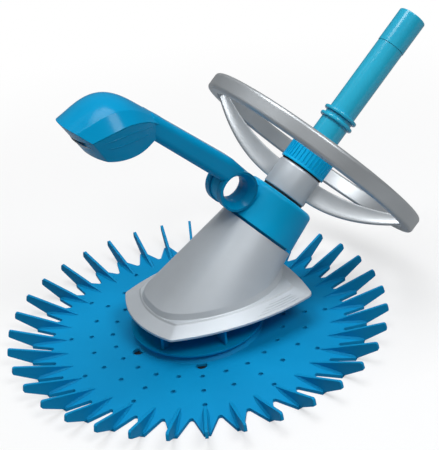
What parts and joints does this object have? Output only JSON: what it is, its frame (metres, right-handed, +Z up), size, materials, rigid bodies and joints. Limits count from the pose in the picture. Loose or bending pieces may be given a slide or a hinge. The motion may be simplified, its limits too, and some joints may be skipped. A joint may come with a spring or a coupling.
{
  "type": "suction pool cleaner",
  "caption": "Pool floor cleaner with a finned rubber disc, silver shroud, slanted throat, deflector wheel, swivelling hose pipe and hinged float arm.",
  "frame": {"origin": "the point of the floor under the centre of the finned disc", "axes": "+Z up out of the pool floor, +X the way the throat and hose lean, the float arm stands over -X, +Y to the left of +X"},
  "size_m": [0.5382, 0.432, 0.3078],
  "materials": {
    "disc_rubber": "satin moulded polyurethane",
    "blue_plastic": "gloss",
    "pipe_plastic": "gloss",
    "silver_plastic": "satin metallic",
    "black_plastic": "matt",
    "dark_rubber": "matt",
    "foam": "closed-cell foam",
    "steel": "plain",
    "iron": "painted"
  },
  "bodies": {
    "body": {"foot_pad": "dark_rubber", "main_housing": "blue_plastic", "body_shroud": "silver_plastic", "shroud_screws": "steel", "ballast_weight": "iron", "diaphragm": "dark_rubber", "diaphragm_ring_lower": "black_plastic", "diaphragm_ring_upper": "black_plastic", "inner_pipe": "black_plastic", "cap_seal": "dark_rubber", "throat_cap": "blue_plastic", "lower_pipe": "pipe_plastic", "grip_ring": "black_plastic", "wheel_washer_lower": "black_plastic", "wheel_washer_upper": "black_plastic"},
    "disc": {"finned_disc": "disc_rubber"},
    "wheel": {"wheel_rim": "silver_plastic", "wheel_yoke": "silver_plastic", "wheel_bush": "black_plastic"},
    "nut": {"hand_nut": "blue_plastic"},
    "swivel": {"swivel_pipe": "pipe_plastic", "hose_sleeve": "pipe_plastic", "swivel_o_ring": "dark_rubber"},
    "float": {"float_arm": "blue_plastic", "pod_lower_shell": "blue_plastic", "foam_float": "foam", "pod_screws": "steel", "pivot_bush_left": "blue_plastic", "pivot_bush_right": "blue_plastic"}
  },
  "joints": [
    {"name": "disc_turn", "type": "hinge", "parent": "body", "child": "disc", "pos_m": [0, 0, 0], "axis": [0, 0, 1], "continuous": true},
    {"name": "wheel_spin", "type": "hinge", "parent": "body", "child": "wheel", "pos_m": [0, 0, 0.021], "axis": [0.7501, 0, 0.6613], "continuous": true},
    {"name": "nut_turn", "type": "hinge", "parent": "body", "child": "nut", "pos_m": [0, 0, 0.021], "axis": [0.7501, 0, 0.6613], "range_deg": [0, 120]},
    {"name": "hose_swivel", "type": "hinge", "parent": "body", "child": "swivel", "pos_m": [0, 0, 0.021], "axis": [0.7501, 0, 0.6613], "continuous": true},
    {"name": "float_hinge", "type": "hinge", "parent": "body", "child": "float", "pos_m": [0.0608, 0, 0.1622], "axis": [0, 1, 0], "range_deg": [-60, 20]}
  ]
}
